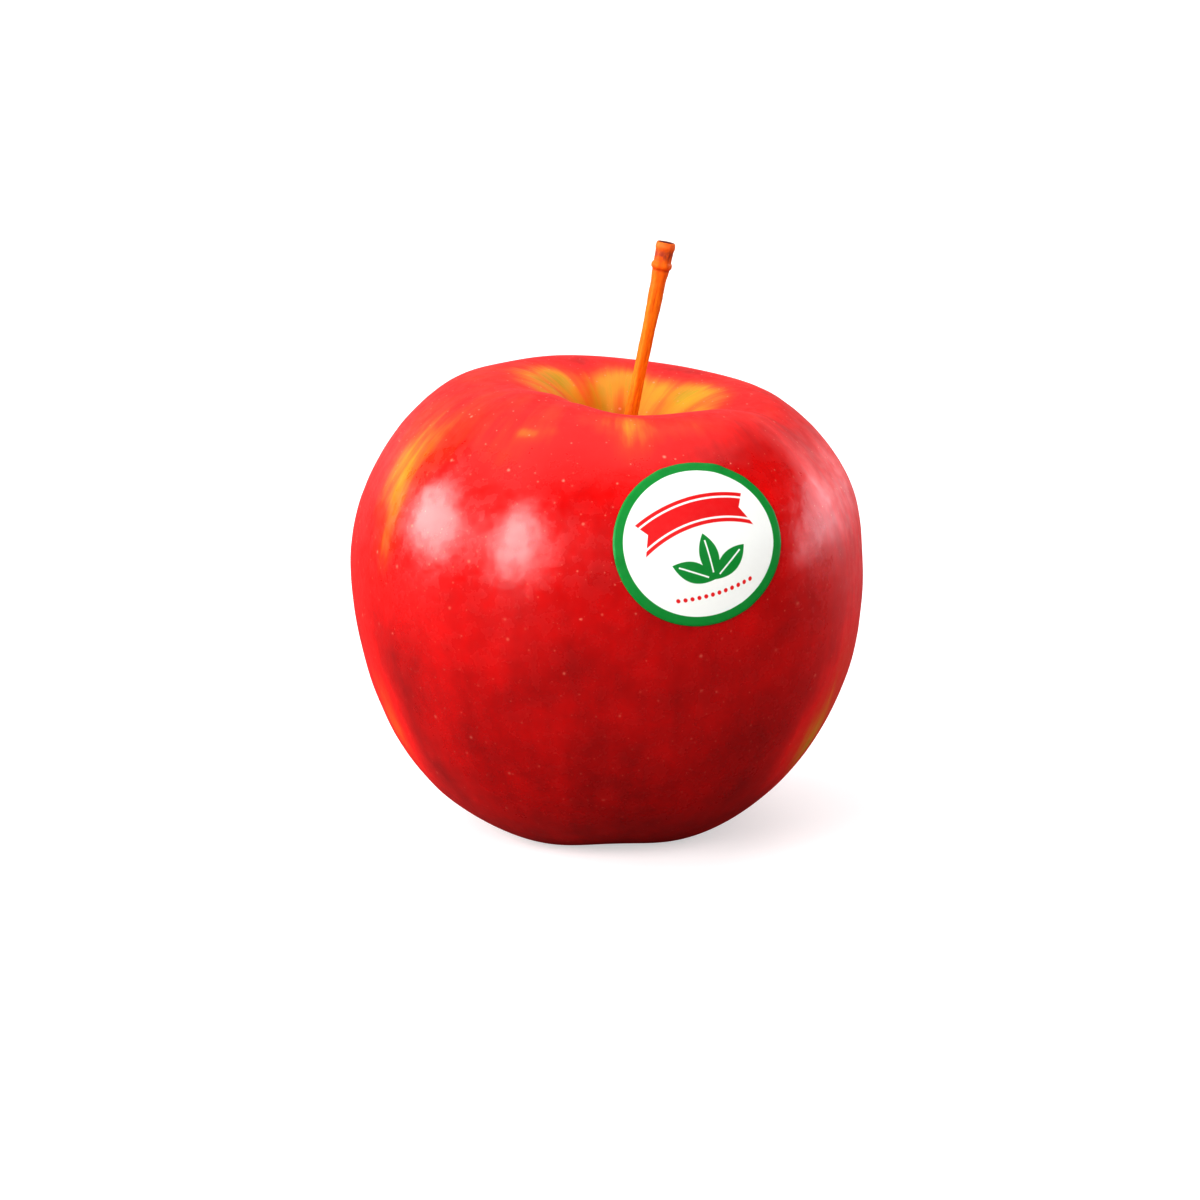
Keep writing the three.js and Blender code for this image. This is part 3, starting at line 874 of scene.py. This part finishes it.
WHITE = tint(252, 253, 250)
GREEN = tint(0, 148, 62)
RED = tint(232, 22, 30)
PRINT_EDGE = 0.06
LEAF_LEANS = (-58, 0, 58)
LEAF_FOOT = (0.3, -4.9)
LEAF_LENGTH = 2.9  # half a leaf's
LEAF_HALF_WIDTH = 1.25
RIM_STARTS = 0.89  # a share of the way from the middle to the edge
RIBBON_RADIUS = 18.3
RIBBON_CENTRE_BELOW = 14.5
RIBBON_HALF_TALL = 1.9
RIBBON_HALF_WIDTH = 7.4
RIBBON_NOTCH = 0.6
RIBBON_LINE_AT = 1.3  # from its middle
RIBBON_LINE_HALF = 0.13
BEAD_PITCH = 0.9
BEAD_RADIUS = 0.26
BEADS_BELOW = 6.6
BEADS_REACH = 5.4
BEADS_BEND = 0.02

finish = Finish("label")
right, up, _ = finish.split(finish.attribute("print", "Vector"))


def inside(distance):
    """1 where a distance from a printed edge is below 0."""
    return distance.rising(PRINT_EDGE, -PRINT_EDGE)


from_middle = ((right / (LABEL_WIDTH / 2)) ** 2 + (up / (LABEL_TALL / 2)) ** 2) ** 0.5
rim = from_middle.rising(RIM_STARTS - 0.005, RIM_STARTS + 0.005)
above_centre = up + RIBBON_CENTRE_BELOW
from_line = ((right * right + above_centre * above_centre) ** 0.5 - RIBBON_RADIUS).size()
notch = (RIBBON_HALF_TALL - from_line) * RIBBON_NOTCH
ribbon = inside(from_line - RIBBON_HALF_TALL) * inside(right.size() - RIBBON_HALF_WIDTH + notch)
ribbon_line = inside((from_line - RIBBON_LINE_AT).size() - RIBBON_LINE_HALF)
leaves = 0.0
for lean in LEAF_LEANS:
    angle = math.radians(90 + lean)
    from_x = right - LEAF_FOOT[0]
    from_y = up - LEAF_FOOT[1]
    length = from_x * math.cos(angle) + from_y * math.sin(angle) - LEAF_LENGTH
    aside = from_y * math.cos(angle) - from_x * math.sin(angle)
    blade = inside(aside.size() - (1 - (length / LEAF_LENGTH) ** 2) * LEAF_HALF_WIDTH)
    vein = inside(aside.size() - 0.1) * inside(length.size() - LEAF_LENGTH * 0.7)
    leaves = blade * inside(length.size() - LEAF_LENGTH) * (1 - vein) + leaves
leaves = leaves.math("MINIMUM", 1)
beside = ((right / BEAD_PITCH).math("FRACT") - 0.5) * BEAD_PITCH
above_beads = up + BEADS_BELOW - right * right * BEADS_BEND
beads = inside((beside * beside + above_beads * above_beads) ** 0.5 - BEAD_RADIUS)
beads = beads * inside(right.size() - BEADS_REACH)
paper = finish.noise(finish.join(right, up, 0), 1.2, 3.0)
ink = finish.blended(rim, WHITE, GREEN)
ink = finish.blended(ribbon * (1 - ribbon_line), ink, RED)
ink = finish.blended(leaves, ink, GREEN)
ink = finish.blended(beads, ink, RED)
ink = finish.blended(paper * 0.05, ink, tint(190, 188, 180))
settings = {"Base Color": ink, "Specular IOR Level": 0.35, "Roughness": paper * 0.12 + 0.34}
settings["Normal"] = finish.relief(paper * 0.02)
label.data.materials.append(finish.shaded(settings))
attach(label, "root")
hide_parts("label")


# ---------------------------------------------------------------------------------------------------------
# The stage: a wide pale table under the apple, seven lamps round it and the camera before it. From below,
# the table can be seen through, so that the eye shows.

TABLE_SIDE = 12.0
TABLE_GLOW = tint(170, 170, 170)
ROOM_LIGHT = 0.08

finish = Finish("table")
place = finish.place()
cloudy = finish.noise(place, 0.01, 2.0)
table_colour = finish.blended(cloudy, tint(206, 206, 206), tint(200, 200, 200))
seen = finish.add("ShaderNodeLightPath", {}, {}, "Is Camera Ray")
mirrored = seen.output("Is Glossy Ray")
lighting = finish.blended(mirrored, tint(160, 157, 153), tint(100, 98, 98))
settings = {"Base Color": finish.blended(seen, lighting, table_colour), "Roughness": 0.6}
settings["Specular IOR Level"] = 0.2
settings["Emission Color"] = finish.blended(seen, tint(0, 0, 0), TABLE_GLOW)
settings["Emission Strength"] = 1.0
table_mesh = bpy.data.meshes.new("table")
half = TABLE_SIDE / 2
corners = [(-half, -half, 0), (half, -half, 0), (half, half, 0), (-half, half, 0)]
table_mesh.from_pydata(corners, [], [(0, 1, 2, 3)])
above = finish.add("ShaderNodeBsdfPrincipled", {}, settings)
below = finish.add("ShaderNodeBsdfTransparent", {}, {})
from_below = finish.add("ShaderNodeNewGeometry", {}, {}, "Backfacing")
sides = finish.add("ShaderNodeMixShader", {}, (from_below, above, below))
finish.add("ShaderNodeOutputMaterial", {}, {"Surface": sides})
table_mesh.materials.append(finish.material)
table = bpy.data.objects.new("table", table_mesh)
bpy.context.scene.collection.objects.link(table)

APPLE_MIDDLE = Vector((0, 0, 33)) * MM


def softbox(name, azimuth, elevation, distance, width, tall, brightness, colour=(1, 1, 1)):
    """A flat lamp in this direction, in degrees, at this distance in metres, facing the apple."""
    lamp = bpy.data.lights.new(name, "AREA")
    lamp.shape = "ELLIPSE"
    lamp.size = width
    lamp.size_y = tall
    lamp.energy = brightness * width * tall * math.pi**2 / 4
    lamp.color = colour
    rise = math.radians(elevation)
    round_z = math.radians(azimuth)
    level = math.cos(rise)
    facing = Vector((level * math.cos(round_z), level * math.sin(round_z), math.sin(rise)))
    holder = bpy.data.objects.new(name, lamp)
    holder.matrix_world = Matrix.Translation(APPLE_MIDDLE + facing * distance)
    holder.matrix_world @= facing.to_track_quat("Z", "Y").to_matrix().to_4x4()
    bpy.context.scene.collection.objects.link(holder)
    return holder


softbox("left_lamp", -179, 19, 0.70, 0.60, 0.40, 5.2)
softbox("front_left_lamp", -130, 25, 0.70, 0.30, 0.52, 6.0)
softbox("right_lamp", 30, 3, 0.80, 0.90, 0.56, 2.0, (0.92, 0.93, 1.0))
softbox("overhead_lamp", 120, 76, 1.20, 2.20, 1.60, 0.62)
softbox("back_lamp", 90, 14, 1.30, 2.60, 0.80, 0.7)
front_fill = softbox("front_fill", -70, 27, 1.50, 2.40, 1.40, 1.15)
top_fill = softbox("top_fill", 120, 80, 1.20, 2.20, 1.60, 0.3)
for fill in (front_fill, top_fill):
    fill.visible_glossy = False

world = bpy.data.worlds.new("studio")
world.use_nodes = True
background = world.node_tree.nodes["Background"]
background.inputs["Color"].default_value = (1, 1, 1, 1)
background.inputs["Strength"].default_value = ROOM_LIGHT
bpy.context.scene.world = world
bpy.context.scene.view_settings.view_transform = "Standard"
bpy.context.scene.view_settings.look = "High Contrast"

CAMERA_DISTANCE = 0.55
CAMERA_RISE = math.radians(13.2)
LENS_LENGTH = 127.05
SENSOR_WIDTH = 36
aim = Vector((-0.87, 0, 29.4)) * MM
lens = bpy.data.cameras.new("camera")
lens.lens = LENS_LENGTH
lens.sensor_width = SENSOR_WIDTH
lens.clip_start = 0.01
camera = bpy.data.objects.new("camera", lens)
camera.location = aim + Vector((0, -math.cos(CAMERA_RISE), math.sin(CAMERA_RISE))) * CAMERA_DISTANCE
camera.rotation_euler = (math.pi / 2 - CAMERA_RISE, 0, 0)
bpy.context.scene.collection.objects.link(camera)
bpy.context.scene.camera = camera
